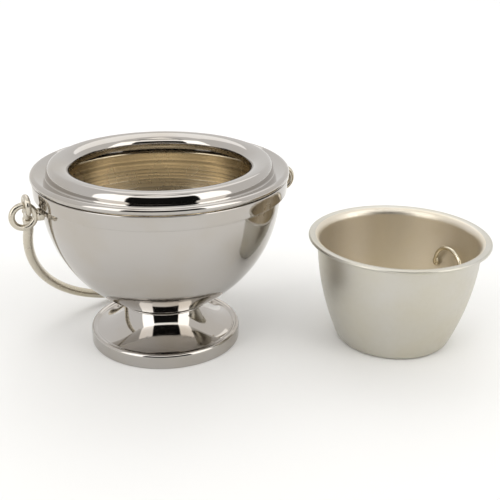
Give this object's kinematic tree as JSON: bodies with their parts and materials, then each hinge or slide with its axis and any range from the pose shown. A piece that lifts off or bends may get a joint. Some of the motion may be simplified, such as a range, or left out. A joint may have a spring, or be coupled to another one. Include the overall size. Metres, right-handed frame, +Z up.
{
  "type": "holy water pot with liner",
  "caption": "Footed nickel-plated holy water pot with a rolled rim and a swinging carrying bail, with its tapered lift-out liner standing beside it.",
  "frame": {"origin": "on the floor, under the middle of the box round the pot and its liner", "axes": "+X from the pot towards the liner, +Y towards the side on which the bail rests, +Z up"},
  "size_m": [0.2788, 0.15, 0.1139],
  "materials": {
    "polished_nickel": "bright nickel plate on spun brass, mirror polished, with faint lathe lines",
    "bowl_nickel": "bright nickel plate on spun brass, polished outside, turned rings inside",
    "satin_nickel": "satin nickel plate on brass bar and rings",
    "liner_satin": "champagne satin plate with fine lathe rings",
    "loop_wire": "bright plated wire",
    "hardware_steel": "plain turned steel"
  },
  "bodies": {
    "pot": {"rim_flange": "polished_nickel", "collar_band": "polished_nickel", "bowl": "bowl_nickel", "seat_ring": "polished_nickel", "foot": "polished_nickel", "tie_rod": "hardware_steel", "foot_washer": "hardware_steel", "foot_nut": "hardware_steel", "bowl_washer": "hardware_steel", "bowl_nut": "hardware_steel", "ear_left": "satin_nickel", "ear_right": "satin_nickel", "ear_washer_left": "hardware_steel", "ear_washer_right": "hardware_steel", "ear_nut_left": "hardware_steel", "ear_nut_right": "hardware_steel"},
    "bail": {"bail": "satin_nickel"},
    "liner": {"liner_cup": "liner_satin", "liner_lift_loop": "loop_wire"}
  },
  "joints": [
    {"name": "bail_swing", "type": "hinge", "parent": "pot", "child": "bail", "pos_m": [-0.0583, 0, 0.0971], "axis": [0.8894, 0.4571, 0], "range_deg": [0, 293]},
    {"name": "liner_lift", "type": "slide", "parent": "pot", "child": "liner", "axis": [0, 0, 1], "range_m": [0, 0.12]}
  ]
}
